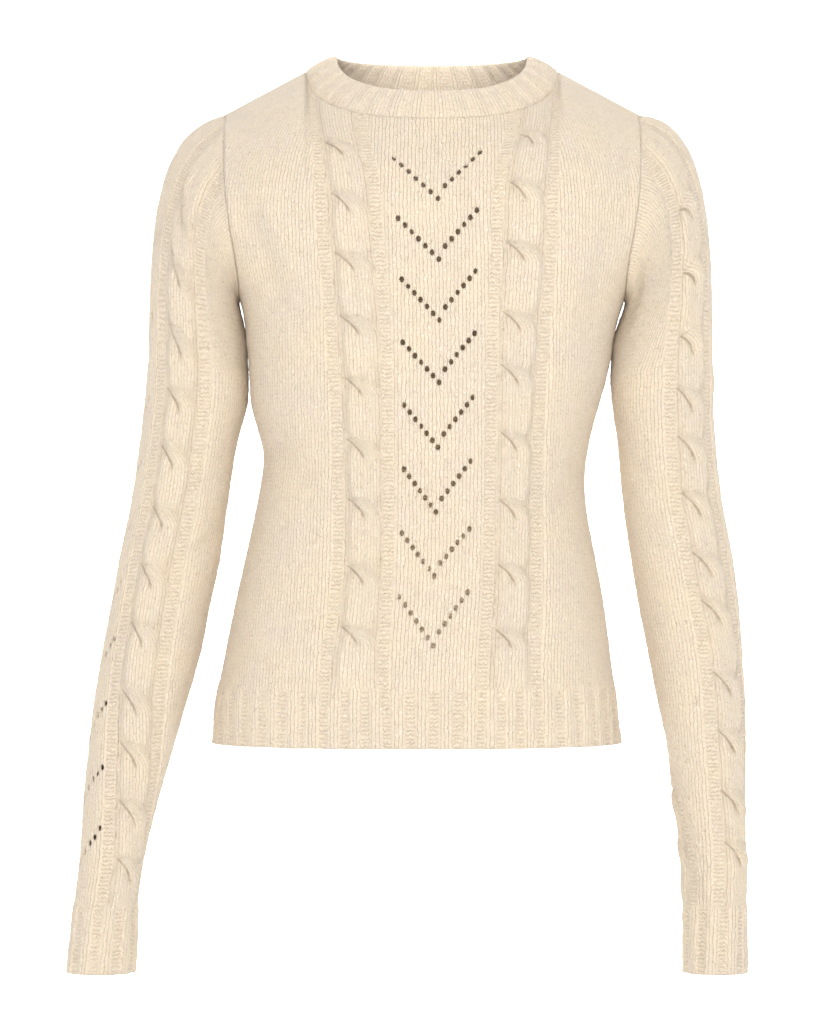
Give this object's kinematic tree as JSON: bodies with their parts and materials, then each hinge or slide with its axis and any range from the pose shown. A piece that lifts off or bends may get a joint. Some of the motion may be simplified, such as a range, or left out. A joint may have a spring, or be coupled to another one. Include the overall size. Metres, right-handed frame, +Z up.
{
  "type": "sweater",
  "caption": "Fitted long-sleeved pullover sweater with a scoop neck, front and sleeve cables, eyelet chevrons and ribbed neckband, cuffs and hem; hangs from the shoulders.",
  "frame": {"origin": "middle of the neck opening, level with the top of the neckband on the shoulders; the wearer's shoulders hold the garment there", "axes": "+Z up along the body, the front of the garment faces -Y, +X is the garment's right-hand side in a front view"},
  "size_m": [0.5229, 0.2091, 0.7047],
  "materials": {
    "cream_knit": "matt heathered cream wool knit"
  },
  "bodies": {
    "root": {"front": "cream_knit", "back": "cream_knit", "sleeve_left": "cream_knit", "sleeve_right": "cream_knit", "neckband": "cream_knit"}
  },
  "joints": []
}
